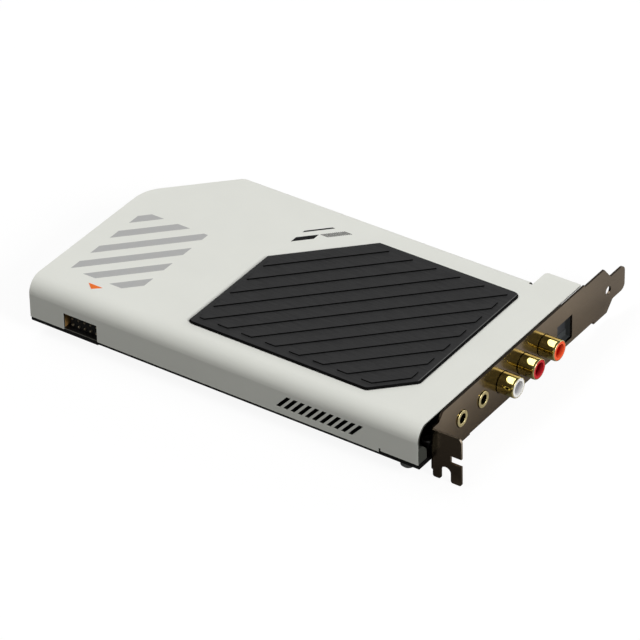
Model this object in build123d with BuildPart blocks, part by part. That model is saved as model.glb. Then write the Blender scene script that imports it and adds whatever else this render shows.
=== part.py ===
import os

from build123d import *

# Expansion sound card: a circuit board on a slot bracket under a folded sheet cover.
# X runs along the card towards the bracket, Y from the screw tab to the slot tongue, Z up from the board.
# The origin is the middle of the card's footprint, at the height of the screw tab's tips.

# Slot bracket, a standard full-height plate
bracket_length = 120.02
bracket_thickness = 0.86
bracket_width = 18.2
bracket_rise = 14.9
bracket_near_drop = 2.75
bracket_near_sag = 0.5
bracket_near_length = 22.7
bracket_ramp_start = 4.3
bracket_ramp_run = 2.6
bracket_far_drop = 0.75
bracket_far_sag = 1.2
bracket_far_from_tip = 26.02
bracket_far_sag_from_tip = 20.02
bracket_bend_radius = 0.4
tongue_width = 9.7
tongue_length = 9.2
tongue_rise = 1.25
tongue_radius = 2.4
shoulder_run = 4.3
lower_shoulder_lead = 1.43
tongue_hole_radius = 1.65
tongue_hole_from_tip = 10.7

# Screw tab, bent outward at the near end of the bracket
tab_length = 11.43
tab_prong_gap = 0.3
tab_corner_radius = 1.7
prong_radius = 0.8
screw_slot_width = 3.9
screw_slot_depth = 5.5
screw_slot_from_face = 5.35
tab_notch_depth = 4.2
tab_notch_height = 2.9
tab_notch_z = 7.8

# Circuit board and its slot tongue
board_lift = 4.9
board_thickness = 1.6
board_gap = 0.64
board_far = 92.3
board_near_inset = 1.3
board_lip_inset = 0.4
board_left_inset = 0.05
board_corner_cut = 12.0
edge_from_face = 48.5
edge_short_length = 11.65
edge_key_width = 1.9
edge_long_length = 7.65
edge_depth = 8.3
edge_bevel = 0.5
contact_pitch = 1.0
contact_width = 0.7
contact_length = 5.6
contact_thickness = 0.05
contact_margin = 0.8

# Folded sheet cover
cover_length = 158.74
cover_gap = 0.6
cover_overhang = 6.05
cover_height = 15.08
cover_sheet = 0.8
cover_near_radius = 6.0
cover_far = 87.5
cover_far_radius = 3.0
cover_corner_cut = 24.0
cover_corner_radius = 14.0
cover_far_corner_radius = 7.0
extension_width = 13.74
extension_beyond = 6.0
extension_radius = 1.5
relief_width = 1.6
raised_foot_length = 15.1
raised_foot = 0.6
foot_slit_width = 0.8
foot_slit_height = 1.6
lug_width = 4.4
lug_height = 6.2
lug_radius = 4.0
foot_flange_width = 9.0
foot_flange_depth = 6.6

# Header window and slanted vents in the cover's near wall
window_from_left = 14.3
window_width = 14.1
window_height = 6.6
vent_count = 11
vent_pitch = 2.885
vent_width = 1.65
vent_height = 5.1
vent_lean = 4.55
vent_rise = 2.55
vent_from_face = 27.4

# Ribbed pad on the cover's top
pad_length = 85.36
pad_width = 74.3
pad_height = 0.9
pad_from_face = 14.9
pad_from_tab = 2.75
pad_far_cut = 27.2
pad_near_cut = 12.8
pad_corner_radius = 2.4
rib_border = 3.3
rib_count = 12
rib_pitch = 6.823
rib_width = 2.9
rib_height = 0.45
rib_first = 2.25

# Sockets along the bracket: two small jacks, three coaxial jacks, one optical port
socket_first = 16.9
socket_pitch = 12.75
socket_height = 5.75
socket_body_chamfer = 0.8
jack_ring_round = 0.22
hole_clearance = 0.2
slip = 0.05
jack_ring_radius = 3.0
jack_bore_radius = 1.77
jack_ring_reach = 0.45
jack_shift = 0.9
jack_ring_seat = 1.6
jack_body_width = 11.6
jack_body_height = 11.0
jack_body_depth = 12.8
coax_radius = 3.85
coax_neck_radius = 3.6
coax_wall = 0.5
coax_reach = 6.45
coax_seat = 4.0
coax_lip = 0.45
coax_lip_chamfer = 0.1
coax_rim = 0.4
coax_rim_round = 0.25
coax_mouth_radius = 2.5
coax_funnel_depth = 2.6
coax_bore_radius = 1.95
coax_contact_wall = 0.3
coax_body_width = 11.0
coax_body_height = 11.2
coax_body_depth = 11.0
optical_from_tab = 81.25
optical_window_width = 9.5
optical_window_height = 9.4
optical_window_drop = 7.1
optical_wall = 1.0
optical_depth = 13.6
optical_cavity_depth = 10.8
optical_recess = 1.75
optical_lip_depth = 2.85
optical_lip_drop = 2.3
optical_sill = 2.6
shutter_thickness = 0.8
shutter_clearance = 0.2
shutter_setback = 0.15
shutter_pin_radius = 0.4
shutter_pin_reach = 0.6
emitter_radius = 1.6
emitter_length = 2.0

# Front-panel header
header_columns = 5
header_pitch = 2.54
header_pin = 0.64
header_body_margin = 0.1
header_row_height = 1.1
header_tip_from_tab = 1.4
header_body_from_tab = 2.4
header_tail = 1.3

# Screws and spacers
spacer_radius = 2.2
spacer_chamfer = 0.9
spacer_bore_radius = 1.25
cover_screw_head_radius = 2.75
cover_screw_head = 2.4
cover_screw_length = 7.0
foot_screw_length = 3.4
cover_screw_radius = 1.2
ear_screw_head_radius = 2.2
ear_screw_head = 1.6
ear_screw_radius = 1.2
ear_reach = 9.2
ear_screw_from_face = 6.3
near_ear_from_tab = 7.5
near_ear_width = 5.6
far_ear_from_tab = 89.7
far_ear_width = 5.0

# Components on the board
chip_chamfer = 0.2
processor_size = 14.0
processor_height = 1.5
converter_size = 7.0
converter_height = 1.1
amplifier_length = 4.9
amplifier_width = 3.9
amplifier_height = 1.5
memory_length = 5.2
memory_width = 5.2
memory_height = 1.8
crystal_length = 11.4
crystal_width = 4.7
crystal_height = 3.6
relay_length = 14.2
relay_width = 7.4
relay_height = 9.6
regulator_length = 6.6
regulator_width = 6.1
regulator_height = 2.3
choke_size = 6.6
choke_height = 3.0
film_length = 7.2
film_width = 3.0
film_height = 6.4
can_radius = 3.15
can_height = 7.7
can_rim = 0.5
can_base_size = 6.6
can_base_height = 1.2
can_base_cut = 1.3
passive_length = 2.0
passive_width = 1.25
passive_height = 0.7

# Places of the screws and components, from the bracket's face and the tab or from the card's left end
foot_screw_from_face = 7.9
foot_screw_from_tab = -1.9
near_spacer_from_tab = 1.5
left_spacer_from_end = 4.1
far_spacer_from_tab = 78.5
far_spacer_from_face = 24.0
left_far_spacer_from_end = 31.6
processor_from_face = 72.0
processor_from_tab = 60.0
converter_from_face = 44.0
converter_from_tab = 30.0
converter_pitch = 28.0
converter_count = 2
amplifier_from_face = 31.0
amplifier_from_tab = 14.0
amplifier_pitch = 9.0
amplifier_count = 6
memory_from_face = 92.0
memory_from_tab = 66.0
crystal_from_face = 90.0
crystal_from_tab = 54.0
relay_from_face = 21.0
relay_from_tab = 36.0
relay_pitch = 24.0
relay_count = 2
regulator_from_end = 44.0
regulator_from_tab = 62.0
regulator_pitch = 9.0
regulator_count = 3
choke_from_end = 44.0
choke_from_tab = 76.0
choke_pitch = 10.0
choke_count = 2
film_from_face = 38.0
film_from_tab = 16.0
film_pitch = 11.0
film_count = 6
window_film_gap = 2.0
window_film_from_tab = -1.4
can_from_face = 56.0
can_from_tab = 12.0
can_pitch = 9.0
can_columns = 2
can_rows = 4
supply_can_from_end = 43.6
supply_can_from_tab = 16.0
supply_can_pitch = 10.0
supply_can_rows = 3
passive_pitch = 4.0
passive_row_pitch = 3.0
passive_columns = 6
passive_rows = 2
passive_from_face = 72.0
passive_from_tab = 76.0
output_passive_pitch = 3.2
output_passive_columns = 2
output_passive_rows = 6
output_passive_from_face = 49.8
output_passive_from_tab = 44.0

# Places that the pieces share
overall_length = tab_length + bracket_thickness + cover_gap + cover_length
face_x = overall_length / 2 - tab_length
inner_face_x = face_x - bracket_thickness
cover_right_x = inner_face_x - cover_gap
cover_left_x = cover_right_x - cover_length
tab_y = cover_overhang - (cover_overhang + bracket_length) / 2
tip_y = tab_y + bracket_length
cover_near_y = tab_y - cover_overhang
cover_far_y = tab_y + cover_far
board_bottom_z = board_lift
board_top_z = board_bottom_z + board_thickness
board_right_x = inner_face_x - board_gap
board_left_x = cover_left_x + board_left_inset
board_near_y = cover_near_y + board_near_inset
board_far_y = tab_y + board_far
cover_top_z = board_top_z + cover_height
cover_inside_z = cover_top_z - cover_sheet
bracket_top_z = board_top_z + bracket_rise
bracket_bottom_z = bracket_top_z - bracket_width
tab_top_z = bracket_top_z - bracket_near_drop
socket_z = board_top_z + socket_height
jack_ys = [tab_y + socket_first + jack_shift + n * socket_pitch for n in range(2)]
coax_ys = [tab_y + socket_first + n * socket_pitch for n in range(2, 5)]
optical_y = tab_y + optical_from_tab
optical_top_z = bracket_top_z - optical_window_drop
optical_bottom_z = optical_top_z - optical_window_height
window_left_x = cover_left_x + window_from_left
window_right_x = window_left_x + window_width
header_x = (window_left_x + window_right_x) / 2


def side_plane(x):
    """Upright plane across the card, facing the bracket, with Y to the right and Z up."""
    return Plane(origin=(x, 0, 0), x_dir=(0, 1, 0), z_dir=(1, 0, 0))


def front_plane(y):
    """Upright plane along the card, facing the screw tab's side, with X to the right and Z up."""
    return Plane(origin=(0, y, 0), x_dir=(1, 0, 0), z_dir=(0, -1, 0))


def on_board(from_face, from_tab):
    """Point on the board's plan, from distances to the bracket's face and the tab's face."""
    return (face_x - from_face, tab_y + from_tab)


def from_end(from_left, from_tab):
    """Point on the board's plan, from distances to the board's left end and the tab's face."""
    return (board_left_x + from_left, tab_y + from_tab)


def column_of(first, pitch, count):
    """Points in a row that starts at a point and runs towards the slot tongue."""
    return [(first[0], first[1] + n * pitch) for n in range(count)]


def row_of(first, pitch, count):
    """Points in a row that starts at a point and runs towards the bracket."""
    return [(first[0] + n * pitch, first[1]) for n in range(count)]


def corner(sketch, x, y):
    """Corner of a sketch nearest to a point."""
    return sketch.vertices().sort_by_distance(Vector(x, y))[0]


def save(piece, label):
    """Labels a finished piece and writes its file."""
    piece.part.label = label
    export_step(piece.part, f"parts/{label}.step")


os.makedirs("parts", exist_ok=True)

foot_screw_place = on_board(foot_screw_from_face, foot_screw_from_tab)
spacer_places = [
    from_end(left_spacer_from_end, near_spacer_from_tab),
    from_end(left_far_spacer_from_end, far_spacer_from_tab),
    on_board(far_spacer_from_face, far_spacer_from_tab),
]
ear_screw_places = [
    on_board(ear_screw_from_face, near_ear_from_tab),
    on_board(ear_screw_from_face, far_ear_from_tab),
]

# Bracket plate with its socket holes, the bent screw tab, and two ears under the board
tongue_bottom_z = bracket_bottom_z + (bracket_width - tongue_width) / 2 - tongue_rise - bracket_far_drop / 2
tongue_top_z = tongue_bottom_z + tongue_width
far_top_z = bracket_top_z - bracket_far_drop
far_bottom_z = bracket_bottom_z - bracket_far_sag
near_bottom_z = bracket_bottom_z - bracket_near_sag
tongue_root_y = tip_y - tongue_length
lower_root_y = tongue_root_y + lower_shoulder_lead
lower_run = tongue_bottom_z - far_bottom_z
tab_end_x = face_x + tab_length
slot_x = face_x + screw_slot_from_face
with BuildPart() as bracket:
    with BuildSketch(side_plane(face_x)) as plate:
        with BuildLine():
            Polyline(
                (tab_y, near_bottom_z),
                (tab_y + bracket_near_length, near_bottom_z),
                (tab_y + bracket_near_length, bracket_bottom_z),
                (tip_y - bracket_far_sag_from_tip, bracket_bottom_z),
                (tip_y - bracket_far_sag_from_tip, far_bottom_z),
                (lower_root_y - lower_run, far_bottom_z),
                (lower_root_y, tongue_bottom_z),
                (tip_y, tongue_bottom_z),
                (tip_y, tongue_top_z),
                (tongue_root_y, tongue_top_z),
                (tongue_root_y - shoulder_run, far_top_z),
                (tip_y - bracket_far_from_tip, far_top_z),
                (tip_y - bracket_far_from_tip, bracket_top_z),
                (tab_y + bracket_ramp_start + bracket_ramp_run, bracket_top_z),
                (tab_y + bracket_ramp_start, tab_top_z),
                (tab_y, tab_top_z),
                close=True,
            )
        make_face()
        fillet(plate.vertices().sort_by(Axis.X)[-2:], radius=tongue_radius)
        with Locations(*[(y, socket_z) for y in jack_ys]):
            Circle(jack_ring_radius + hole_clearance, mode=Mode.SUBTRACT)
        with Locations(*[(y, socket_z) for y in coax_ys]):
            Circle(coax_radius + hole_clearance, mode=Mode.SUBTRACT)
        with Locations((optical_y, (optical_top_z + optical_bottom_z) / 2)):
            Rectangle(optical_window_width, optical_window_height, mode=Mode.SUBTRACT)
        with Locations((tip_y - tongue_hole_from_tip, (tongue_top_z + tongue_bottom_z) / 2)):
            Circle(tongue_hole_radius, mode=Mode.SUBTRACT)
    extrude(amount=-bracket_thickness)
    with BuildSketch(front_plane(tab_y + bracket_thickness)) as tab:
        with BuildLine():
            Polyline(
                (inner_face_x, near_bottom_z),
                (inner_face_x, tab_top_z),
                (tab_end_x, tab_top_z),
                (tab_end_x, 0),
                (face_x + tab_prong_gap, 0),
                (face_x + tab_prong_gap, near_bottom_z),
                close=True,
            )
        make_face()
        fillet(corner(tab, tab_end_x, tab_top_z), radius=tab_corner_radius)
        slot_straight = screw_slot_depth - screw_slot_width / 2
        with Locations((slot_x, slot_straight / 2)):
            Rectangle(screw_slot_width, slot_straight, mode=Mode.SUBTRACT)
        with Locations((slot_x, slot_straight)):
            Circle(screw_slot_width / 2, mode=Mode.SUBTRACT)
        with Locations((tab_end_x - tab_notch_depth / 2, tab_notch_z + tab_notch_height / 2)):
            Rectangle(tab_notch_depth, tab_notch_height, mode=Mode.SUBTRACT)
        fillet(tab.vertices().group_by(Axis.Y)[0], radius=prong_radius)
    extrude(amount=bracket_thickness)
    bend_edges = bracket.edges().filter_by(Axis.Z).filter_by_position(Axis.Y, tab_y - slip, tab_y + slip)
    fillet(bend_edges.sort_by(Axis.X)[0], radius=bracket_bend_radius + bracket_thickness)
    with BuildSketch(Plane.XY.offset(board_bottom_z)):
        for (ear_x, ear_y), ear_width in zip(ear_screw_places, (near_ear_width, far_ear_width)):
            with Locations((inner_face_x - ear_reach / 2, ear_y)):
                Rectangle(ear_reach, ear_width)
            with Locations((ear_x, ear_y)):
                Circle(ear_screw_radius + slip, mode=Mode.SUBTRACT)
    extrude(amount=-bracket_thickness)
save(bracket, "bracket")

# Board outline with the lip under the header window, the keyed slot tongue and a cut-out for the optical port
edge_right_x = face_x - edge_from_face
key_right_x = edge_right_x - edge_short_length
key_left_x = key_right_x - edge_key_width
edge_left_x = key_left_x - edge_long_length
edge_y = board_far_y + edge_depth
optical_body_width = optical_window_width + 2 * optical_wall
lip_cut_x = inner_face_x - optical_lip_depth - hole_clearance
with BuildPart() as circuit_board:
    with BuildSketch(Plane.XY.offset(board_bottom_z)):
        with BuildLine():
            Polyline(
                (board_left_x, cover_near_y + board_lip_inset),
                (window_right_x, cover_near_y + board_lip_inset),
                (window_right_x, board_near_y),
                (board_right_x, board_near_y),
                (board_right_x, board_far_y),
                (edge_right_x, board_far_y),
                (edge_right_x, edge_y),
                (edge_left_x, edge_y),
                (edge_left_x, board_far_y),
                (board_left_x + board_corner_cut, board_far_y),
                (board_left_x, board_far_y - board_corner_cut),
                close=True,
            )
        make_face()
        with Locations(((key_left_x + key_right_x) / 2, edge_y - edge_depth / 2)):
            Rectangle(edge_key_width, edge_depth, mode=Mode.SUBTRACT)
        with Locations(((lip_cut_x + board_right_x) / 2, optical_y)):
            Rectangle(
                board_right_x - lip_cut_x,
                optical_body_width + 2 * hole_clearance,
                mode=Mode.SUBTRACT,
            )
        with Locations(foot_screw_place, *spacer_places):
            Circle(cover_screw_radius + slip, mode=Mode.SUBTRACT)
        with Locations(*ear_screw_places):
            Circle(ear_screw_radius + slip, mode=Mode.SUBTRACT)
        for row in range(2):
            tail_y = tab_y + header_body_from_tab + header_pitch * (row + 1.5)
            with Locations((header_x, tail_y)):
                with GridLocations(header_pitch, header_pitch, header_columns, 1):
                    Rectangle(header_pin + 2 * slip, header_pin + 2 * slip, mode=Mode.SUBTRACT)
    extrude(amount=board_thickness)
    tongue_tips = circuit_board.edges().filter_by(Axis.X).filter_by_position(Axis.Y, edge_y - slip, edge_y + slip)
    chamfer(tongue_tips, length=edge_bevel)
save(circuit_board, "circuit_board")

# Gold contacts on both faces of the slot tongue
contact_y = edge_y - edge_bevel - contact_margin - contact_length / 2
short_count = int((edge_short_length - contact_pitch / 2) / contact_pitch)
long_count = int((edge_long_length - contact_pitch / 2) / contact_pitch)
with BuildPart() as edge_contacts:
    for level, thickness in ((board_top_z, contact_thickness), (board_bottom_z, -contact_thickness)):
        with BuildSketch(Plane.XY.offset(level)):
            with Locations(((edge_right_x + key_right_x) / 2, contact_y)):
                with GridLocations(contact_pitch, contact_pitch, short_count, 1):
                    Rectangle(contact_width, contact_length)
            with Locations(((key_left_x + edge_left_x) / 2, contact_y)):
                with GridLocations(contact_pitch, contact_pitch, long_count, 1):
                    Rectangle(contact_width, contact_length)
        extrude(amount=thickness)
save(edge_contacts, "edge_contacts")

# Cover: a folded channel, trimmed to its plan, with the extension beside the bracket
cover_flat_far_y = cover_far_y - cover_far_radius
extension_left_x = cover_right_x - extension_width
extension_far_y = cover_far_y + extension_beyond
relief_left_x = extension_left_x - relief_width
cut_right_x = cover_left_x + cover_corner_cut
cut_far_x = cut_right_x + cover_far_radius
with BuildPart() as cover:
    with BuildSketch(side_plane(cover_left_x)) as outside:
        with BuildLine():
            Polyline(
                (cover_near_y, board_top_z),
                (cover_near_y, cover_top_z),
                (cover_far_y, cover_top_z),
                (cover_far_y, board_top_z),
                close=True,
            )
        make_face()
        fillet(corner(outside, cover_near_y, cover_top_z), radius=cover_near_radius)
        fillet(corner(outside, cover_far_y, cover_top_z), radius=cover_far_radius)
    extrude(amount=cover_length)
    with BuildSketch(side_plane(cover_left_x)) as inside:
        with BuildLine():
            Polyline(
                (cover_near_y + cover_sheet, board_top_z),
                (cover_near_y + cover_sheet, cover_inside_z),
                (cover_far_y - cover_sheet, cover_inside_z),
                (cover_far_y - cover_sheet, board_top_z),
                close=True,
            )
        make_face()
        fillet(corner(inside, cover_near_y, cover_top_z), radius=cover_near_radius - cover_sheet)
        fillet(corner(inside, cover_far_y, cover_top_z), radius=cover_far_radius - cover_sheet)
    extrude(amount=cover_length, mode=Mode.SUBTRACT)
    with BuildSketch(Plane.XY.offset(board_top_z)) as plan:
        with BuildLine():
            Polyline(
                (cover_left_x, cover_near_y),
                (cover_right_x, cover_near_y),
                (cover_right_x, cover_flat_far_y),
                (relief_left_x, cover_flat_far_y),
                (relief_left_x, cover_far_y),
                (cut_far_x, cover_far_y),
                (cover_left_x, cover_flat_far_y - cover_corner_cut),
                close=True,
            )
        make_face()
        fillet(corner(plan, cover_left_x, cover_flat_far_y - cover_corner_cut), radius=cover_corner_radius)
        fillet(corner(plan, cut_far_x, cover_far_y), radius=cover_far_corner_radius)
    extrude(amount=cover_height, mode=Mode.INTERSECT)
    with BuildSketch(Plane.XY.offset(cover_inside_z)) as extension:
        with BuildLine():
            Polyline(
                (extension_left_x, cover_flat_far_y - cover_sheet),
                (cover_right_x, cover_flat_far_y - cover_sheet),
                (cover_right_x, extension_far_y),
                (extension_left_x, extension_far_y),
                close=True,
            )
        make_face()
        fillet(corner(extension, extension_left_x, extension_far_y), radius=extension_radius)
    extrude(amount=cover_sheet)
    # Header window, vents, raised foot and its slit, all through the near wall
    with BuildSketch(front_plane(cover_near_y)):
        with Locations((header_x, board_top_z + window_height / 2)):
            Rectangle(window_width, window_height)
        for n in range(vent_count):
            vent_x = face_x - vent_from_face - vent_width - n * vent_pitch
            vent_z = board_top_z + vent_rise
            with BuildLine():
                Polyline(
                    (vent_x, vent_z),
                    (vent_x + vent_width, vent_z),
                    (vent_x + vent_width + vent_lean, vent_z + vent_height),
                    (vent_x + vent_lean, vent_z + vent_height),
                    close=True,
                )
            make_face()
        with Locations((cover_right_x - raised_foot_length / 2, board_top_z + raised_foot / 2)):
            Rectangle(raised_foot_length, raised_foot)
        with Locations((cover_right_x - raised_foot_length, board_top_z + foot_slit_height / 2)):
            Rectangle(foot_slit_width, foot_slit_height)
    extrude(amount=-cover_sheet, mode=Mode.SUBTRACT)
    # Lug folded inward at the wall's end beside the bracket
    lug_bottom_z = board_top_z + raised_foot
    lug_inner_y = cover_near_y + cover_sheet + lug_width
    with BuildSketch(side_plane(cover_right_x)) as lug:
        with BuildLine():
            Polyline(
                (cover_near_y + cover_sheet, lug_bottom_z),
                (lug_inner_y, lug_bottom_z),
                (lug_inner_y, lug_bottom_z + lug_height),
                (cover_near_y + cover_sheet, lug_bottom_z + lug_height),
                close=True,
            )
        make_face()
        fillet(corner(lug, lug_inner_y, lug_bottom_z + lug_height), radius=lug_radius)
    extrude(amount=-cover_sheet)
    # Foot folded inward from the raised part of the wall, lying on the board under a screw
    with BuildSketch(Plane.XY.offset(board_top_z)):
        with Locations((foot_screw_place[0], cover_near_y + cover_sheet)):
            Rectangle(foot_flange_width, foot_flange_depth, align=(Align.CENTER, Align.MIN))
        with Locations(foot_screw_place):
            Circle(cover_screw_radius + slip, mode=Mode.SUBTRACT)
    extrude(amount=cover_sheet)
save(cover, "cover")

# Pad: a flat plate with two cut corners and a border round slanting ribs
pad_right_x = face_x - pad_from_face
pad_left_x = pad_right_x - pad_length
pad_near_y = tab_y + pad_from_tab
pad_far_y = pad_near_y + pad_width
pad_top_z = cover_top_z + pad_height
rib_plane = Plane(
    origin=(pad_right_x - pad_near_cut, pad_near_y, pad_top_z),
    x_dir=(1, 1, 0),
    z_dir=(0, 0, 1),
)
with BuildPart() as ribs:
    with BuildSketch(rib_plane):
        for n in range(rib_count):
            with Locations((0, rib_first + n * rib_pitch + rib_width / 2)):
                Rectangle(2 * (pad_length + pad_width), rib_width)
    extrude(amount=rib_height)
    with BuildSketch(Plane.XY.offset(pad_top_z)):
        with Locations(((pad_left_x + pad_right_x) / 2, (pad_near_y + pad_far_y) / 2)):
            Rectangle(pad_length - 2 * rib_border, pad_width - 2 * rib_border)
    extrude(amount=rib_height, mode=Mode.INTERSECT)
with BuildPart() as top_pad:
    with BuildSketch(Plane.XY.offset(cover_top_z)) as pad_plan:
        with BuildLine():
            Polyline(
                (pad_left_x, pad_near_y),
                (pad_right_x - pad_near_cut, pad_near_y),
                (pad_right_x, pad_near_y + pad_near_cut),
                (pad_right_x, pad_far_y),
                (pad_left_x + pad_far_cut, pad_far_y),
                (pad_left_x, pad_far_y - pad_far_cut),
                close=True,
            )
        make_face()
        fillet(pad_plan.vertices(), radius=pad_corner_radius)
    extrude(amount=pad_height)
    add(ribs.part)
save(top_pad, "top_pad")

# Small jacks: a moulded body behind the bracket and a plated ring through it
jack_names = ("headphone_jack", "microphone_jack")
for jack_name, jack_y in zip(jack_names, jack_ys):
    with BuildPart() as jack_body:
        with BuildSketch(side_plane(inner_face_x)) as jack_outline:
            with Locations((jack_y, board_top_z + jack_body_height / 2)):
                Rectangle(jack_body_width, jack_body_height)
            chamfer(jack_outline.vertices().group_by(Axis.Y)[-1], length=socket_body_chamfer)
            with Locations((jack_y, socket_z)):
                Circle(jack_bore_radius, mode=Mode.SUBTRACT)
        extrude(amount=-jack_body_depth)
        with BuildSketch(side_plane(inner_face_x)):
            with Locations((jack_y, socket_z)):
                Circle(jack_ring_radius + slip)
        extrude(amount=-jack_ring_seat, mode=Mode.SUBTRACT)
    save(jack_body, f"{jack_name}_body")
    with BuildPart() as jack_ring:
        with BuildSketch(side_plane(inner_face_x - jack_ring_seat)):
            with Locations((jack_y, socket_z)):
                Circle(jack_ring_radius)
                Circle(jack_bore_radius, mode=Mode.SUBTRACT)
        extrude(amount=jack_ring_seat + bracket_thickness + jack_ring_reach)
        front_edges = jack_ring.faces().sort_by(Axis.X)[-1].edges()
        fillet(front_edges, radius=jack_ring_round)
    save(jack_ring, f"{jack_name}_ring")

# Coaxial jacks: a moulded body, a plated barrel, a coloured liner with a funnel mouth and a centre contact
coax_names = ("left_output", "right_output", "digital_output")
coax_tip_x = face_x + coax_reach
coax_back_x = inner_face_x - coax_seat
barrel_bore_radius = coax_neck_radius - coax_wall
liner_radius = barrel_bore_radius - slip
rim_bore_radius = coax_radius - coax_rim
lip_radius = rim_bore_radius - slip
for coax_name, coax_y in zip(coax_names, coax_ys):
    axis_plane = Plane(origin=(0, coax_y, socket_z), x_dir=(1, 0, 0), z_dir=(0, -1, 0))
    with BuildPart() as coax_body:
        with BuildSketch(side_plane(inner_face_x)) as coax_outline:
            with Locations((coax_y, board_top_z + coax_body_height / 2)):
                Rectangle(coax_body_width, coax_body_height)
            chamfer(coax_outline.vertices().group_by(Axis.Y)[-1], length=socket_body_chamfer)
        extrude(amount=-coax_body_depth)
        with BuildSketch(side_plane(inner_face_x)):
            with Locations((coax_y, socket_z)):
                Circle(coax_neck_radius + slip)
        extrude(amount=-coax_seat, mode=Mode.SUBTRACT)
    save(coax_body, f"{coax_name}_body")
    with BuildPart() as barrel:
        with BuildSketch(axis_plane) as barrel_profile:
            with BuildLine():
                Polyline(
                    (coax_back_x, barrel_bore_radius),
                    (coax_back_x, coax_neck_radius),
                    (face_x, coax_neck_radius),
                    (face_x, coax_radius),
                    (coax_tip_x, coax_radius),
                    (coax_tip_x, rim_bore_radius),
                    (coax_tip_x - coax_lip, rim_bore_radius),
                    (coax_tip_x - coax_lip, barrel_bore_radius),
                    close=True,
                )
            make_face()
            fillet(corner(barrel_profile, coax_tip_x, coax_radius), radius=coax_rim_round)
        revolve(axis=Axis((0, coax_y, socket_z), (1, 0, 0)))
    save(barrel, f"{coax_name}_barrel")
    with BuildPart() as liner:
        with BuildSketch(axis_plane):
            with BuildLine():
                Polyline(
                    (coax_back_x, coax_bore_radius),
                    (coax_back_x, liner_radius),
                    (coax_tip_x - coax_lip, liner_radius),
                    (coax_tip_x - coax_lip, lip_radius),
                    (coax_tip_x - coax_lip_chamfer, lip_radius),
                    (coax_tip_x, lip_radius - coax_lip_chamfer),
                    (coax_tip_x, coax_mouth_radius),
                    (coax_tip_x - coax_funnel_depth, coax_bore_radius),
                    close=True,
                )
            make_face()
        revolve(axis=Axis((0, coax_y, socket_z), (1, 0, 0)))
    save(liner, f"{coax_name}_liner")
with BuildPart() as coax_contacts:
    with BuildSketch(side_plane(coax_back_x)):
        with Locations(*[(y, socket_z) for y in coax_ys]):
            Circle(coax_bore_radius - slip)
            Circle(coax_bore_radius - slip - coax_contact_wall, mode=Mode.SUBTRACT)
    extrude(amount=coax_tip_x - coax_funnel_depth - coax_back_x)
save(coax_contacts, "output_contacts")

# Optical port: a housing with a square mouth, a sprung shutter hung inside the mouth and the light emitter
mouth_x = inner_face_x - optical_recess
cavity_top_z = optical_top_z + optical_wall / 2
cavity_width = optical_window_width - shutter_clearance
shutter_bottom_z = optical_bottom_z + optical_sill
pin_z = optical_top_z - shutter_pin_radius / 4
pin_x = mouth_x - shutter_setback - shutter_thickness / 2
with BuildPart() as optical_housing:
    with BuildSketch(side_plane(inner_face_x)):
        with Locations((optical_y, board_top_z)):
            Rectangle(
                optical_body_width,
                cavity_top_z + optical_wall - board_top_z,
                align=(Align.CENTER, Align.MIN),
            )
    extrude(amount=-optical_depth)
    with BuildSketch(side_plane(inner_face_x)):
        with Locations((optical_y, board_top_z)):
            Rectangle(optical_body_width, optical_lip_drop, align=(Align.CENTER, Align.MAX))
    extrude(amount=-optical_lip_depth)
    with BuildSketch(side_plane(inner_face_x)):
        with Locations((optical_y, optical_top_z)):
            Rectangle(optical_window_width, optical_window_height, align=(Align.CENTER, Align.MAX))
    extrude(amount=-optical_recess, mode=Mode.SUBTRACT)
    with BuildSketch(side_plane(mouth_x)):
        with Locations((optical_y, cavity_top_z)):
            Rectangle(
                cavity_width,
                cavity_top_z - shutter_bottom_z + shutter_clearance,
                align=(Align.CENTER, Align.MAX),
            )
    extrude(amount=-optical_cavity_depth, mode=Mode.SUBTRACT)
    with BuildSketch(front_plane(optical_y - cavity_width / 2 - shutter_pin_reach)):
        with Locations((pin_x, pin_z)):
            Circle(shutter_pin_radius + slip)
    extrude(amount=-(cavity_width + 2 * shutter_pin_reach), mode=Mode.SUBTRACT)
save(optical_housing, "optical_housing")
with BuildPart() as optical_shutter:
    with BuildSketch(side_plane(pin_x - shutter_thickness / 2)):
        with Locations((optical_y, pin_z)):
            Rectangle(
                cavity_width - 2 * shutter_clearance,
                pin_z - shutter_bottom_z,
                align=(Align.CENTER, Align.MAX),
            )
    extrude(amount=shutter_thickness)
    with BuildSketch(front_plane(optical_y - cavity_width / 2 - shutter_pin_reach + slip)):
        with Locations((pin_x, pin_z)):
            Circle(shutter_pin_radius)
    extrude(amount=-(cavity_width + 2 * (shutter_pin_reach - slip)))
save(optical_shutter, "optical_shutter")
cavity_back_x = mouth_x - optical_cavity_depth
with BuildPart() as optical_emitter:
    with BuildSketch(side_plane(cavity_back_x)):
        with Locations((optical_y, (cavity_top_z + shutter_bottom_z) / 2)):
            Circle(emitter_radius)
    extrude(amount=emitter_length)
    fillet(optical_emitter.faces().sort_by(Axis.X)[-1].edges(), radius=emitter_radius / 2)
save(optical_emitter, "optical_emitter")

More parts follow.
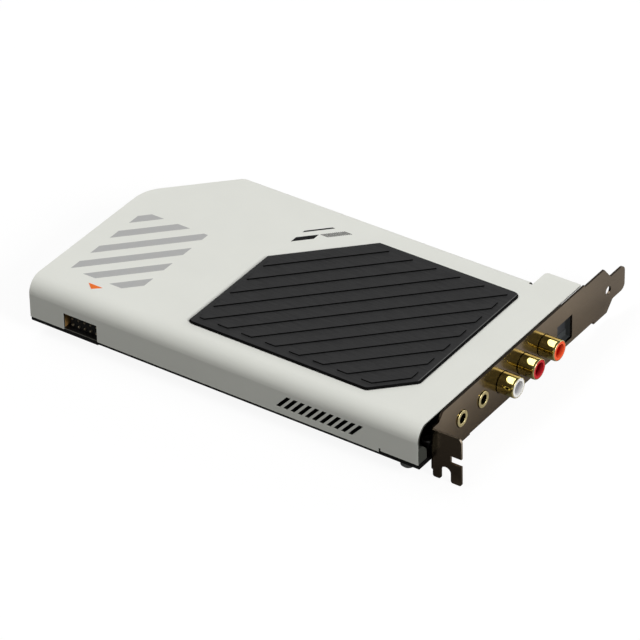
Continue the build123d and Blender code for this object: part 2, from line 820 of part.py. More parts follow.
# Header: a moulded block across two rows of bent pins that face the window
header_width = header_columns * header_pitch + 2 * header_body_margin
header_block_y = tab_y + header_body_from_tab
header_tip_y = tab_y - header_tip_from_tab
row_zs = [board_top_z + header_row_height + n * header_pitch for n in range(2)]
with BuildPart() as header_block:
    with BuildSketch(front_plane(header_block_y)):
        with Locations((header_x, board_top_z)):
            Rectangle(
                header_width,
                header_row_height + 1.5 * header_pitch,
                align=(Align.CENTER, Align.MIN),
            )
        for row_z in row_zs:
            with Locations((header_x, row_z)):
                with GridLocations(header_pitch, header_pitch, header_columns, 1):
                    Rectangle(header_pin + 2 * slip, header_pin + 2 * slip, mode=Mode.SUBTRACT)
    extrude(amount=-header_pitch)
save(header_block, "header_block")
with BuildPart() as header_pins:
    for row, row_z in enumerate(row_zs):
        bend_y = header_block_y + header_pitch * (row + 1.5)
        for column in range(header_columns):
            pin_left_x = header_x + (column - (header_columns - 1) / 2) * header_pitch - header_pin / 2
            with BuildSketch(side_plane(pin_left_x)):
                with BuildLine():
                    Polyline(
                        (header_tip_y, row_z - header_pin / 2),
                        (header_tip_y, row_z + header_pin / 2),
                        (bend_y + header_pin / 2, row_z + header_pin / 2),
                        (bend_y + header_pin / 2, board_bottom_z - header_tail),
                        (bend_y - header_pin / 2, board_bottom_z - header_tail),
                        (bend_y - header_pin / 2, row_z - header_pin / 2),
                        close=True,
                    )
                make_face()
            extrude(amount=header_pin)
save(header_pins, "header_pins")

# Spacers between board and cover, and the screws that come up through the board into them
with BuildPart() as cover_spacers:
    for spacer_x, spacer_y in spacer_places:
        with BuildSketch(Plane.XY.offset(board_top_z)):
            with Locations((spacer_x, spacer_y)):
                Circle(spacer_radius)
                Circle(spacer_bore_radius, mode=Mode.SUBTRACT)
        extrude(amount=cover_inside_z - board_top_z)
    rims = cover_spacers.faces().group_by(Axis.Z)[-1].edges().filter_by(GeomType.CIRCLE)
    chamfer(rims.group_by(SortBy.RADIUS)[-1], length=spacer_chamfer)
save(cover_spacers, "cover_spacers")
with BuildPart() as cover_screws:
    with BuildSketch(Plane.XY.offset(board_bottom_z)):
        with Locations(foot_screw_place, *spacer_places):
            Circle(cover_screw_head_radius)
    extrude(amount=-cover_screw_head)
    chamfer(cover_screws.faces().group_by(Axis.Z)[0].edges(), length=cover_screw_head / 4)
    with BuildSketch(Plane.XY.offset(board_bottom_z)):
        with Locations(*spacer_places):
            Circle(cover_screw_radius)
    extrude(amount=cover_screw_length)
    with BuildSketch(Plane.XY.offset(board_bottom_z)):
        with Locations(foot_screw_place):
            Circle(cover_screw_radius)
    extrude(amount=foot_screw_length)
save(cover_screws, "cover_screws")
with BuildPart() as ear_screws:
    with BuildSketch(Plane.XY.offset(board_top_z)):
        with Locations(*ear_screw_places):
            Circle(ear_screw_head_radius)
    extrude(amount=ear_screw_head)
    chamfer(ear_screws.faces().group_by(Axis.Z)[-1].edges(), length=ear_screw_head / 4)
    with BuildSketch(Plane.XY.offset(board_top_z)):
        with Locations(*ear_screw_places):
            Circle(ear_screw_radius)
    extrude(amount=-(board_thickness + bracket_thickness))
save(ear_screws, "ear_screws")

# Flat-sided components, each group of like parts standing on the board
converter_places = column_of(on_board(converter_from_face, converter_from_tab), converter_pitch, converter_count)
amplifier_places = column_of(on_board(amplifier_from_face, amplifier_from_tab), amplifier_pitch, amplifier_count)
relay_places = column_of(on_board(relay_from_face, relay_from_tab), relay_pitch, relay_count)
regulator_places = row_of(from_end(regulator_from_end, regulator_from_tab), -regulator_pitch, regulator_count)
choke_places = row_of(from_end(choke_from_end, choke_from_tab), choke_pitch, choke_count)
film_places = column_of(on_board(film_from_face, film_from_tab), film_pitch, film_count)
film_places += [(window_left_x - window_film_gap, tab_y + window_film_from_tab)]
box_groups = {
    "audio_processor": (
        processor_size,
        processor_size,
        processor_height,
        [on_board(processor_from_face, processor_from_tab)],
    ),
    "converter_chips": (converter_size, converter_size, converter_height, converter_places),
    "amplifier_chips": (amplifier_width, amplifier_length, amplifier_height, amplifier_places),
    "memory_chip": (memory_length, memory_width, memory_height, [on_board(memory_from_face, memory_from_tab)]),
    "relays": (relay_width, relay_length, relay_height, relay_places),
    "regulators": (regulator_length, regulator_width, regulator_height, regulator_places),
    "chokes": (choke_size, choke_size, choke_height, choke_places),
    "film_capacitors": (film_width, film_length, film_height, film_places),
}
for label, (length, width, height, places) in box_groups.items():
    with BuildPart() as group:
        with BuildSketch(Plane.XY.offset(board_top_z)):
            with Locations(*places):
                Rectangle(length, width)
        extrude(amount=height)
        chamfer(group.faces().group_by(Axis.Z)[-1].edges(), length=chip_chamfer)
    save(group, label)

# Crystal can with round ends
with BuildPart() as crystal:
    with BuildSketch(Plane.XY.offset(board_top_z)):
        with Locations(on_board(crystal_from_face, crystal_from_tab)):
            SlotOverall(crystal_length, crystal_width)
    extrude(amount=crystal_height)
    fillet(crystal.faces().sort_by(Axis.Z)[-1].edges(), radius=can_rim)
save(crystal, "crystal")

# Electrolytic capacitors: round cans on cut-corner bases
can_places = column_of(from_end(supply_can_from_end, supply_can_from_tab), supply_can_pitch, supply_can_rows)
for can_x, can_y in row_of(on_board(can_from_face, can_from_tab), -can_pitch, can_columns):
    can_places += column_of((can_x, can_y), can_pitch, can_rows)
with BuildPart() as capacitor_bases:
    with BuildSketch(Plane.XY.offset(board_top_z)) as base_plan:
        with Locations(*can_places):
            Rectangle(can_base_size, can_base_size)
        right_corners = [corner(base_plan, x + can_base_size / 2, y + can_base_size / 2) for x, y in can_places]
        chamfer(right_corners, length=can_base_cut)
    extrude(amount=can_base_height)
save(capacitor_bases, "capacitor_bases")
with BuildPart() as capacitor_cans:
    with BuildSketch(Plane.XY.offset(board_top_z + can_base_height)):
        with Locations(*can_places):
            Circle(can_radius)
    extrude(amount=can_height)
    chamfer(capacitor_cans.faces().group_by(Axis.Z)[-1].edges(), length=can_rim)
save(capacitor_cans, "capacitor_cans")

# Chip resistors and capacitors in two fields beside the larger parts
with BuildPart() as chip_passives:
    with BuildSketch(Plane.XY.offset(board_top_z)):
        with Locations(on_board(passive_from_face, passive_from_tab)):
            with GridLocations(passive_pitch, passive_row_pitch, passive_columns, passive_rows):
                Rectangle(passive_length, passive_width)
        with Locations(on_board(output_passive_from_face, output_passive_from_tab)):
            with GridLocations(output_passive_pitch, passive_row_pitch, output_passive_columns, output_passive_rows):
                Rectangle(passive_length, passive_width)
    extrude(amount=passive_height)
save(chip_passives, "chip_passives")
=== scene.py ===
from math import radians

import bmesh
import bpy
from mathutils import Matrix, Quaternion, Vector


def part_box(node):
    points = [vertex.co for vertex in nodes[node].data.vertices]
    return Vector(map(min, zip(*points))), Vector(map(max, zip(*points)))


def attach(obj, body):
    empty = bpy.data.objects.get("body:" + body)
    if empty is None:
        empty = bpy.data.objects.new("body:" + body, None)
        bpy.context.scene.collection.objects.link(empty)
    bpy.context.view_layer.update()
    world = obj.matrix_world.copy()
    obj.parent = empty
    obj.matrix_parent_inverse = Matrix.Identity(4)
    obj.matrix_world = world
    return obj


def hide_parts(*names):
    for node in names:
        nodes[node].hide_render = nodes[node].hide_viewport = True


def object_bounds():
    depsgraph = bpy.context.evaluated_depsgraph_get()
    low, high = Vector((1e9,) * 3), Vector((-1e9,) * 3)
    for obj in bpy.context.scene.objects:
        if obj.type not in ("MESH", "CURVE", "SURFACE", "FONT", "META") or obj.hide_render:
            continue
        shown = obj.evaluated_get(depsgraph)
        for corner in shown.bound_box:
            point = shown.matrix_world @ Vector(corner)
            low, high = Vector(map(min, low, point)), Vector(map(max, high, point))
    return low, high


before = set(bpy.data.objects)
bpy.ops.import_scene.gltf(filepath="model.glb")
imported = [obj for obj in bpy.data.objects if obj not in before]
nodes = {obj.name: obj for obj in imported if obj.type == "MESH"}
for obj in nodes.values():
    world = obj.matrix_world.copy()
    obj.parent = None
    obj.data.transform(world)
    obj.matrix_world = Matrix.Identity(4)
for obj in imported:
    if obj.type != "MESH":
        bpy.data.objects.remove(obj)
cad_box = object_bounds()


# Circuit board: a glass-fibre sheet under black solder mask, with a keyed tongue for the slot.
# Copper tracks show through the glossy mask as faint slanting lines, and a painted highlight in pale grey
# runs along the top of the near edge.
# A strip along that edge, right of the header window, brings it forward under the cover's wall.
class Wire:
    """An output socket in a node tree, or the tree alone. Arithmetic on a socket adds Math nodes."""

    def __init__(self, tree, socket=None):
        self.tree = tree
        self.socket = socket

    def feed(self, socket, value):
        """Links a wire to an input socket, or sets a plain value there."""
        if isinstance(value, Wire):
            self.tree.links.new(value.socket, socket)
        else:
            socket.default_value = value

    def node(self, kind, settings=None, inputs=None, output=0):
        """Adds a node: its settings are set first, then the values or links of its sockets."""
        made = self.tree.nodes.new(kind)
        for name, value in (settings or {}).items():
            setattr(made, name, value)
        for name, value in (inputs or {}).items():
            self.feed(made.inputs[name], value)
        return Wire(self.tree, made.outputs[output])

    def math(self, operation, first, second):
        return self.node("ShaderNodeMath", {"operation": operation}, {0: first, 1: second})

    def __add__(self, other):
        return self.math("ADD", self, other)

    def __sub__(self, other):
        return self.math("SUBTRACT", self, other)

    def __rsub__(self, other):
        return self.math("SUBTRACT", other, self)

    def __mul__(self, other):
        return self.math("MULTIPLY", self, other)

    __radd__ = __add__
    __rmul__ = __mul__

    def noise(self, lumps, detail=2):
        """Cloudy value from 0 to 1, with about this many lumps in a metre."""
        return self.node("ShaderNodeTexNoise", None, {"Vector": self, "Scale": lumps, "Detail": detail})

    def stretched(self, turn, scale):
        """These coordinates, turned about Z and scaled along each axis."""
        return self.node(
            "ShaderNodeMapping",
            None,
            {"Vector": self, "Rotation": (0, 0, turn), "Scale": scale},
        )

    def tint(self, low, high):
        """Colour between two, each a colour or a wire, by this value."""
        ends = [end if isinstance(end, Wire) else (*end, 1) for end in (low, high)]
        return self.node(
            "ShaderNodeMix",
            {"data_type": "RGBA"},
            {"Factor": self, 6: ends[0], 7: ends[1]},
            output=2,
        )

    def part(self, axis):
        """One coordinate of these: 0, 1 or 2 for X, Y or Z."""
        return self.node("ShaderNodeSeparateXYZ", None, {"Vector": self}, output=axis)

    def ramp(self, start, end):
        """Value from 0 to 1 as this one goes from start to end."""
        return self.node("ShaderNodeMapRange", None, {"Value": self, "From Min": start, "From Max": end})

    def bumps(self, height):
        """Normal of a surface that this value raises, by this height in metres at 1."""
        return self.node("ShaderNodeBump", None, {"Height": self, "Distance": height})


def shade_of(red, green, blue):
    """Linear colour for the bytes of a swatch, by the sRGB curve."""
    shares = [byte / 255 for byte in (red, green, blue)]
    return tuple(share / 12.92 if share < 0.04045 else ((share + 0.055) / 1.055) ** 2.4 for share in shares)


def start_finish(name, roughness, metallic=0.0, coat=0.0, specular=0.5):
    """New material, with its shader's sockets, its Object coordinates and its normal."""
    material = bpy.data.materials.new(name)
    material.use_nodes = True
    tree = material.node_tree
    sockets = tree.nodes["Principled BSDF"].inputs
    sockets["Roughness"].default_value = roughness
    sockets["Metallic"].default_value = metallic
    sockets["Coat Weight"].default_value = coat
    sockets["Specular IOR Level"].default_value = specular
    place = Wire(tree).node("ShaderNodeTexCoord", output="Object")
    normal = Wire(tree).node("ShaderNodeTexCoord", output="Normal")
    return material, sockets, place, normal


def dress(material, *names):
    """Gives a material to solid parts."""
    for name in names:
        nodes[name].data.materials.clear()
        nodes[name].data.materials.append(material)


def add_piece(name, mesh, material, stands_for=None):
    """Makes a bmesh a piece of the card, in place of a solid part where one is named."""
    data = bpy.data.meshes.new(name)
    mesh.to_mesh(data)
    mesh.free()
    data.materials.append(material)
    piece = bpy.data.objects.new(name, data)
    bpy.context.scene.collection.objects.link(piece)
    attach(piece, "card")
    if stands_for:
        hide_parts(stands_for)


board_low, board_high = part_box("circuit_board")
cover_low, cover_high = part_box("cover")
mask_black = shade_of(18, 18, 19)
track_black = shade_of(27, 28, 27)
# This pale grey is a painted highlight along the top of the board's near edge.
board_painted_highlight = shade_of(112, 110, 102)
mask_lumps = 600
mask_roughness = 0.28
mask_roughness_spread = 0.12
track_slant = radians(45)
track_stagger = 0.37
track_scale = 260
track_line = 0.03
track_run = 1.9
track_relief = 0.00004
board_highlight_margin = 0.00022
board_highlight_fade = 0.00004
board_highlight_upwards = (0.7, 0.9)
strip_from_left = 0.0284
strip_front_inset = 0.00085
strip_back_inset = 0.0013
board_mask, sockets, place, normal = start_finish("black_solder_mask", mask_roughness)
tracks = place.node(
    "ShaderNodeTexBrick",
    {"offset": track_stagger},
    {
        "Vector": place.stretched(track_slant, (1, 1, 1)),
        "Scale": track_scale,
        "Mortar Size": track_line,
        "Brick Width": track_run,
    },
    output=1,
)
from_near = place.part(1) - board_low.y
# Painted highlight: upward faces close to the near edge are painted pale grey, as if catching the light.
board_edge_highlight = from_near.ramp(board_highlight_margin + board_highlight_fade, board_highlight_margin) * normal.part(2).ramp(*board_highlight_upwards)
place.feed(sockets["Base Color"], board_edge_highlight.tint(tracks.tint(mask_black, track_black), board_painted_highlight))
place.feed(sockets["Normal"], tracks.bumps(track_relief))
place.feed(sockets["Roughness"], mask_roughness + place.noise(mask_lumps) * mask_roughness_spread)
dress(board_mask, "circuit_board")
strip_low = Vector((cover_low.x + strip_from_left, cover_low.y + strip_front_inset, board_low.z))
strip_high = Vector((board_high.x, cover_low.y + strip_back_inset, board_high.z))
strip = bmesh.new()
strip_verts = bmesh.ops.create_cube(strip, size=1)["verts"]
bmesh.ops.scale(strip, verts=strip_verts, vec=strip_high - strip_low)
bmesh.ops.translate(strip, verts=strip_verts, vec=(strip_low + strip_high) / 2)
add_piece("board_edge_strip", strip, board_mask)


# Gold plating: a bright polished skin over nickel on the slot contacts, jack rings and inner contacts.
# It is slightly clouded, and the cut front faces of rings and rims are satin, with a painted highlight that
# makes them paler.
gold_light = shade_of(222, 206, 132)
gold_deep = shade_of(202, 184, 102)
# The palest gold is a painted highlight for faces turned forwards.
gold_painted_highlight = shade_of(244, 228, 172)
gold_lumps = 900
gold_forwards = (0.3, 0.65)
gold_roughness = 0.05
gold_cloud_roughness = 0.06
gold_highlight_roughness = 0.36
gold_plating, sockets, place, normal = start_finish("gold_plating", gold_roughness, metallic=1.0)
cloud = place.noise(gold_lumps, detail=3)
# Painted highlight: faces turned forwards are painted a paler gold, and made rougher to catch the lamps.
painted_face_highlight = normal.part(0).ramp(*gold_forwards)
place.feed(sockets["Base Color"], painted_face_highlight.tint(cloud.tint(gold_deep, gold_light), gold_painted_highlight))
place.feed(
    sockets["Roughness"],
    gold_roughness + cloud * gold_cloud_roughness + painted_face_highlight * gold_highlight_roughness,
)
dress(gold_plating, "edge_contacts", "headphone_jack_ring", "microphone_jack_ring", "output_contacts")


# Phono barrels: turned brass under the gold plating, each with a neck that goes back through the bracket.
# A fine gap parts the wide front from the bracket's face.
# A long soft lead-in runs to the rim, so that a highlight on the barrel ends short of it.
plate_past_cover = 0.00146
plate_front = cover_high.x + plate_past_cover
barrel_neck = 0.0036
barrel_wall = 0.0005
barrel_rim = 0.0004
barrel_lip = 0.00045
barrel_steps = 96
collar_gap = 0.00013
collar_round = 0.00012
lead_in_length = 0.00095
lead_in_drop = 0.00026
lead_in_steps = 8
sharp_angle = radians(35)


def turned(profile, centre, steps):
    """Closed profile of points along and off an axis on X through the centre, spun to a solid."""
    mesh = bmesh.new()
    verts = [mesh.verts.new((x, centre.y, centre.z + off)) for x, off in profile]
    edges = [mesh.edges.new((verts[index - 1], verts[index])) for index in range(len(verts))]
    bmesh.ops.spin(
        mesh,
        geom=verts + edges,
        cent=centre,
        axis=(1, 0, 0),
        angle=radians(360),
        steps=steps,
        use_merge=True,
    )
    bmesh.ops.recalc_face_normals(mesh, faces=mesh.faces[:])
    for face in mesh.faces:
        face.smooth = True
    for edge in mesh.edges:
        edge.smooth = edge.calc_face_angle(0.0) < sharp_angle
    return mesh


lead_in_shares = [step / lead_in_steps for step in range(lead_in_steps)]
for output in ("left_output", "right_output", "digital_output"):
    low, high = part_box(output + "_barrel")
    radius = (high.y - low.y) / 2
    profile = [
        (low.x, barrel_neck - barrel_wall),
        (low.x, barrel_neck),
        (plate_front + collar_gap, barrel_neck),
        (plate_front + collar_gap, radius - collar_round),
        (plate_front + collar_gap + collar_round, radius),
        *[
            (high.x - lead_in_length * (1 - share), radius - lead_in_drop * share**3)
            for share in lead_in_shares
        ],
        (high.x, radius - lead_in_drop),
        (high.x, radius - barrel_rim),
        (high.x - barrel_lip, radius - barrel_rim),
        (high.x - barrel_lip, barrel_neck - barrel_wall),
    ]
    barrel = turned(profile, (low + high) / 2, barrel_steps)
    add_piece(output + "_turned_barrel", barrel, gold_plating, output + "_barrel")


# Header pins: two rows of square drawn brass wire with a dull flash of gold, bent down into the board.
# They reach well out into the window, and their tips are chamfered to guide a plug.
pin_width = 0.00064
pin_pitch = 0.00254
pin_columns = 5
pin_rows = 2
pin_tip_inset = 0.0022
pin_chamfer = 0.00013
pin_tip_y = cover_low.y + pin_tip_inset
pins_low, pins_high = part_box("header_pins")


def mottled(name, dark, light, lumps, roughness, detail=2, spread=0.0, relief=0.0, stretch=None, **fixed):
    """Finish that wanders between two swatches, its roughness and height going with the colour."""
    material, sockets, place, _ = start_finish(name, roughness, **fixed)
    mottle = (place.stretched(0, stretch) if stretch else place).noise(lumps, detail)
    place.feed(sockets["Base Color"], mottle.tint(shade_of(*dark), shade_of(*light)))
    if spread:
        place.feed(sockets["Roughness"], roughness + mottle * spread)
    if relief:
        place.feed(sockets["Normal"], mottle.bumps(relief))
    return material


def pull(mesh, faces, way):
    """Makes flat faces a solid, by pulling a copy of them this way."""
    made = bmesh.ops.extrude_face_region(mesh, geom=faces, use_keep_orig=True)["geom"]
    verts = [part for part in made if isinstance(part, bmesh.types.BMVert)]
    bmesh.ops.translate(mesh, verts=verts, vec=way)


flash_gold = mottled(
    "flash_gold",
    dark=(158, 146, 122),
    light=(180, 168, 144),
    lumps=1800,
    roughness=0.36,
    spread=0.14,
    metallic=0.75,
)
pins = bmesh.new()
for row in range(pin_rows):
    top = pins_high.z - pin_pitch * row
    bend = pins_high.y - pin_pitch * row
    outline = [
        (pin_tip_y, top - pin_width),
        (pin_tip_y, top),
        (bend, top),
        (bend, pins_low.z),
        (bend - pin_width, pins_low.z),
        (bend - pin_width, top - pin_width),
    ]
    for column in range(pin_columns):
        left = pins_low.x + pin_pitch * column
        side = pins.faces.new([pins.verts.new((left, y, z)) for y, z in outline])
        pull(pins, [side], (pin_width, 0, 0))
bmesh.ops.recalc_face_normals(pins, faces=pins.faces[:])
tips = [edge for edge in pins.edges if all(vert.co.y < pin_tip_y + pin_chamfer for vert in edge.verts)]
bmesh.ops.bevel(pins, geom=tips, offset=pin_chamfer, affect="EDGES", segments=1, profile=0.5, material=-1)
add_piece("header_bent_pins", pins, flash_gold, "header_pins")


# Connector bodies and capacitor bases: black plastic, injection moulded and soldered to the board.
# The spark-eroded mould leaves a fine grain on them.
moulded_black = mottled(
    "moulded_black",
    dark=(19, 19, 20),
    light=(30, 30, 31),
    lumps=5200,
    roughness=0.42,
    spread=0.2,
    relief=0.00002,
)
dress(
    moulded_black,
    "headphone_jack_body",
    "microphone_jack_body",
    "left_output_body",
    "right_output_body",
    "digital_output_body",
    "capacitor_bases",
)


# Header block: a deep moulding of the same black plastic, with both rows of pins pressed through it.
# Only their tips stand out. It is a front face, cut out for each pin and pulled back to its depth.
pin_bare = 0.0008
pin_slip = 0.00002
block_low, block_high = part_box("header_block")
block_front = pin_tip_y + pin_bare
hole_xs = [
    pins_low.x + pin_pitch * column + edge
    for column in range(pin_columns)
    for edge in (-pin_slip, pin_width + pin_slip)
]
hole_zs = [
    pins_high.z - pin_pitch * row + edge
    for row in reversed(range(pin_rows))
    for edge in (-pin_width - pin_slip, pin_slip)
]
block_corners = [
    (block_low.x, block_low.z),
    (block_high.x, block_low.z),
    (block_high.x, block_high.z),
    (block_low.x, block_high.z),
]
block = bmesh.new()
block.faces.new([block.verts.new((x, block_front, z)) for x, z in block_corners])
cuts = [((x, 0, 0), (1, 0, 0)) for x in hole_xs] + [((0, 0, z), (0, 0, 1)) for z in hole_zs]
for point, way in cuts:
    everything = block.verts[:] + block.edges[:] + block.faces[:]
    bmesh.ops.bisect_plane(block, geom=everything, plane_co=point, plane_no=way)


def in_hole(place, hole_edges):
    """Whether a place along one axis lies between the two edges of a hole."""
    return any(start < place < end for start, end in zip(hole_edges[::2], hole_edges[1::2]))


middles = {face: face.calc_center_median() for face in block.faces}
holes = [face for face, spot in middles.items() if in_hole(spot.x, hole_xs) and in_hole(spot.z, hole_zs)]
bmesh.ops.delete(block, geom=holes, context="FACES")
pull(block, block.faces[:], (0, block_high.y - block_front, 0))
bmesh.ops.recalc_face_normals(block, faces=block.faces[:])
add_piece("header_deep_block", block, moulded_black, "header_block")


# Chips and regulators: silicon sealed in moulded black epoxy and soldered flat to the board.
# The epoxy is matt, with a finer and drier grain than the connectors have.
chip_epoxy = mottled(
    "chip_epoxy",
    dark=(20, 20, 21),
    light=(36, 36, 37),
    lumps=9000,
    detail=3,
    roughness=0.5,
    spread=0.2,
    relief=0.00001,
)
dress(chip_epoxy, "audio_processor", "converter_chips", "amplifier_chips", "memory_chip", "regulators")


# Chokes: coils inside blocks of pressed ferrite powder, soldered flat to the board.
# The ferrite is charcoal grey and porous.
ferrite = mottled(
    "pressed_ferrite",
    dark=(52, 52, 54),
    light=(84, 84, 86),
    lumps=7000,
    detail=4,
    roughness=0.7,
    relief=0.00003,
)
dress(ferrite, "chokes")


# Relays: small switches in sealed cream plastic cases, soldered to the board.
# The cases are glossy, with faint flow marks from the mould.
cream_case = mottled(
    "cream_case",
    dark=(216, 211, 198),
    light=(228, 224, 213),
    lumps=180,
    detail=3,
    roughness=0.26,
    spread=0.12,
    coat=0.2,
)
dress(cream_case, "relays")


# Film capacitors: wound plastic film in tan cases, soldered to the board.
# The cases are dipped, which leaves a waxy, slightly uneven skin.
film_case = mottled(
    "tan_film_case",
    dark=(170, 128, 72),
    light=(194, 152, 92),
    lumps=420,
    detail=3,
    roughness=0.35,
    relief=0.00005,
)
dress(film_case, "film_capacitors")


# Capacitor cans and the crystal's case: thin aluminium, deep drawn and crimped shut.
# Drawing leaves faint lines up their sides.
drawn_aluminium = mottled(
    "drawn_aluminium",
    dark=(196, 196, 196),
    light=(218, 218, 216),
    lumps=6000,
    stretch=(1, 1, 0.03),
    roughness=0.24,
    spread=0.16,
    metallic=1.0,
)
dress(drawn_aluminium, "capacitor_cans", "crystal")


# Chip resistors and capacitors: small blocks of fired tan ceramic, soldered flat to the board.
# Firing leaves their colour slightly uneven.
fired_ceramic = mottled(
    "fired_ceramic",
    dark=(132, 108, 82),
    light=(166, 140, 108),
    lumps=2400,
    roughness=0.55,
)
dress(fired_ceramic, "chip_passives")


# Optical port: a moulded housing with a sprung shutter hung inside its mouth, and a red emitter behind.
# Housing and shutter are dark grey plastic with a fine grain, and the emitter is glossy red resin.
port_greys = {
    "optical_housing": ((62, 65, 66), (72, 75, 76)),
    "optical_shutter": ((52, 54, 57), (62, 64, 67)),
}
for moulding, (dark, light) in port_greys.items():
    port_plastic = mottled(
        moulding + "_plastic",
        dark=dark,
        light=light,
        lumps=4600,
        roughness=0.36,
        spread=0.14,
        relief=0.00001,
    )
    dress(port_plastic, moulding)
red_emitter = mottled(
    "red_emitter",
    dark=(150, 16, 18),
    light=(186, 30, 30),
    lumps=900,
    roughness=0.1,
    coat=0.5,
)
dress(red_emitter, "optical_emitter")


# Phono liners: smooth plastic sleeves with a funnel mouth, pressed into the barrels.
# There is one colour for each output, and each bore has painted shade, darker the further in from its rim.
# The third swatch of each is the painted shade far down the bore.
liner_colours = {
    "left_output_liner": ((228, 227, 225), (240, 239, 236), (158, 159, 167)),
    "right_output_liner": ((186, 30, 38), (202, 44, 50), (92, 0, 6)),
    "digital_output_liner": ((240, 84, 44), (250, 100, 58), (168, 8, 2)),
}
liner_rim = 0.00025
painted_bore_shade_depth = 0.0014
liner_lumps = 1200
liner_roughness = 0.26
liner_roughness_spread = 0.12
liner_specular = 0.1
for liner, swatches in liner_colours.items():
    dark, light, painted_shade_colour = (shade_of(*swatch) for swatch in swatches)
    material, sockets, place, _ = start_finish(liner + "_plastic", liner_roughness, specular=liner_specular)
    mottle = place.noise(liner_lumps)
    # Painted shade: the bore is painted darker the further it lies behind the rim.
    painted_bore_shade = (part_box(liner)[1].x - place.part(0)).ramp(liner_rim, painted_bore_shade_depth)
    place.feed(sockets["Base Color"], painted_bore_shade.tint(mottle.tint(dark, light), painted_shade_colour))
    place.feed(sockets["Roughness"], liner_roughness + mottle * liner_roughness_spread)
    dress(material, liner)


# Slot bracket: pressed steel with a folded tab, plated a dark bronze and screwed to the board by its ears.
# The plating is satin to glossy, so that the barrels mirror in it, with faint streaks from rolling.
# It carries a painted sheen that makes it paler along the sockets, is darker at the plate's edges, and has a
# painted highlight at the tab's end.
bronze_dark = shade_of(127, 111, 92)
bronze_light = shade_of(137, 122, 103)
# The next two bronzes are a painted sheen, and the last colour of this group is a painted highlight.
bronze_sheen_dark = shade_of(150, 132, 110)
bronze_sheen_light = shade_of(162, 145, 122)
bronze_edge = shade_of(80, 70, 59)
bronze_painted_highlight = shade_of(214, 200, 180)
bronze_roughness = 0.12
bronze_roughness_spread = 0.12
tab_highlight_roughness = 0.4
rolled_stretch = (1, 0.05, 1)
rolled_lumps = 2600
rolled_relief = 0.000004
sheen_from_tab = (-0.058, -0.050)
sheen_before_tongue = (0.050, 0.026)
edge_sideways = (0.5, 0.1)
edge_depth = 0.0002
tab_highlight_forwards = (0.3, 0.8)
tab_highlight_from_plate = (0.004, 0.005)
tab_highlight_heights = (0.0085, 0.0185)
bronze, sockets, place, normal = start_finish("dark_bronze_plating", bronze_roughness, metallic=1.0)
rolled = place.stretched(0, rolled_stretch).noise(rolled_lumps, detail=3)
forwards = normal.part(0)
out_from_plate = place.part(0) - plate_front
along = place.part(1)
rise = place.part(2).ramp(*tab_highlight_heights)
plate_edge = (forwards * forwards).ramp(*edge_sideways) * out_from_plate.ramp(edge_depth, 0)
# Painted highlight: the tab's end face is painted pale and rough, brightest towards its top.
tab_end_highlight = forwards.ramp(*tab_highlight_forwards) * out_from_plate.ramp(*tab_highlight_from_plate) * rise * rise
# Painted sheen: a band along the sockets is painted paler, for a brighter reflection there.
painted_sheen = along.ramp(*sheen_from_tab) * along.ramp(*sheen_before_tongue)
plated = painted_sheen.tint(
    rolled.tint(bronze_dark, bronze_light),
    rolled.tint(bronze_sheen_dark, bronze_sheen_light),
)
place.feed(sockets["Base Color"], tab_end_highlight.tint(plate_edge.tint(plated, bronze_edge), bronze_painted_highlight))
place.feed(
    sockets["Roughness"],
    bronze_roughness + rolled * bronze_roughness_spread + tab_end_highlight * tab_highlight_roughness,
)
place.feed(sockets["Normal"], rolled.bumps(rolled_relief))
dress(bronze, "bracket")


# Screws and spacers: zinc-plated steel screws, slightly dulled, and brass spacers that carry the cover.
# The spacers are turned, which leaves fine rings around them.
zinc_plating = mottled(
    "zinc_plating",
    dark=(178, 180, 182),
    light=(206, 207, 206),
    lumps=2200,
    detail=3,
    roughness=0.24,
    spread=0.2,
    metallic=1.0,
)
dress(zinc_plating, "cover_screws", "ear_screws")
turned_brass = mottled(
    "turned_brass",
    dark=(196, 168, 108),
    light=(218, 192, 132),
    lumps=5200,
    stretch=(0.05, 0.05, 1),
    roughness=0.22,
    spread=0.16,
    metallic=1.0,
)
dress(turned_brass, "cover_spacers")


# Cover: folded sheet metal with a smooth off-white coat, which has a very fine orange peel.
# The near wall's inner side, with its vent cuts and end lug, is painted dark grey as shade, and the cut end
# at the bracket is dark grey too.
coat_dark = shade_of(221, 222, 215)
coat_light = shade_of(227, 228, 221)
# This dark grey is painted shade on the near wall's inner side, and also the colour of the cut end.
darkened_grey = shade_of(64, 66, 61)
coat_lumps = 60
coat_specular = 0.3
peel_lumps = 1500
peel_relief = 0.000012
peel_roughness = 0.44
peel_roughness_spread = 0.12
darkened_behind_face = (0.0001, 0.0002)
darkened_to_depth = (0.0115, 0.011)
fold_height = (0.0090, 0.0088)
cut_forwards = (0.4, 0.8)
cut_below_top = (0.0003, 0.0005)
off_white, sockets, place, normal = start_finish("off_white_coat", peel_roughness, specular=coat_specular)
depth = place.part(1) - cover_low.y
# Painted shade: the near wall's inner side below the fold, its vent cuts and the lug.
painted_shade_inside = depth.ramp(*darkened_behind_face) * depth.ramp(*darkened_to_depth)
below_fold = (place.part(2) - cover_low.z).ramp(*fold_height)
cut_end = normal.part(0).ramp(*cut_forwards) * (cover_high.z - place.part(2)).ramp(*cut_below_top)
darkened = painted_shade_inside * below_fold + cut_end * (1 - below_fold)
coat = place.noise(coat_lumps).tint(coat_dark, coat_light)
peel = place.noise(peel_lumps)
place.feed(sockets["Base Color"], darkened.tint(coat, darkened_grey))
place.feed(sockets["Roughness"], peel_roughness + peel * peel_roughness_spread)
place.feed(sockets["Normal"], peel.bumps(peel_relief))
dress(off_white, "cover")


